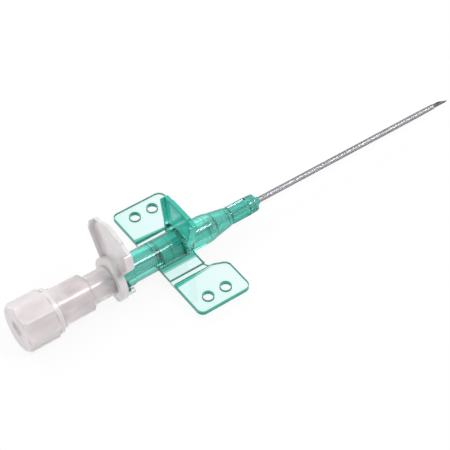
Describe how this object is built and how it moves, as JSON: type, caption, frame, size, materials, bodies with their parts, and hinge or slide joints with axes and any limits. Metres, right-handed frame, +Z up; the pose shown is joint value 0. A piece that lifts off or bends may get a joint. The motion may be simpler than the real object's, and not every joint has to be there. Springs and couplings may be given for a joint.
{
  "type": "iv cannula",
  "caption": "Winged intravenous cannula: a hub with a push-off tab and flexible wings on a fine tube, a needle unit with a grip plate and flash chamber, and a luer cap.",
  "frame": {"origin": "on the barrel's axis at the front face of the catheter hub's nose, where the tube comes out", "axes": "+X along the barrel towards the needle tip, +Z up away from the wings, +Y across to the far wing"},
  "size_m": [0.1053, 0.031, 0.0179],
  "materials": {
    "catheter_hub": "translucent green moulded plastic",
    "catheter_tube": "clear thin tubing over the needle",
    "ferrule": "thin drawn steel",
    "needle_cannula": "polished drawn steel",
    "needle_hub": "clear moulded plastic",
    "flash_plug": "milky moulded plastic",
    "filter_disc": "porous white",
    "luer_cap": "milky moulded plastic"
  },
  "bodies": {
    "catheter": {"catheter_hub": "catheter_hub", "catheter_tube": "catheter_tube", "ferrule": "ferrule"},
    "needle_unit": {"needle_cannula": "needle_cannula", "needle_hub": "needle_hub", "flash_plug": "flash_plug", "filter_disc": "filter_disc"},
    "cap": {"luer_cap": "luer_cap"}
  },
  "joints": [
    {"name": "needle_withdrawal", "type": "slide", "parent": "catheter", "child": "needle_unit", "axis": [-1, 0, 0], "range_m": [0, 0.09]},
    {"name": "cap_removal", "type": "slide", "parent": "needle_unit", "child": "cap", "axis": [-1, 0, 0], "range_m": [0, 0.012]}
  ]
}
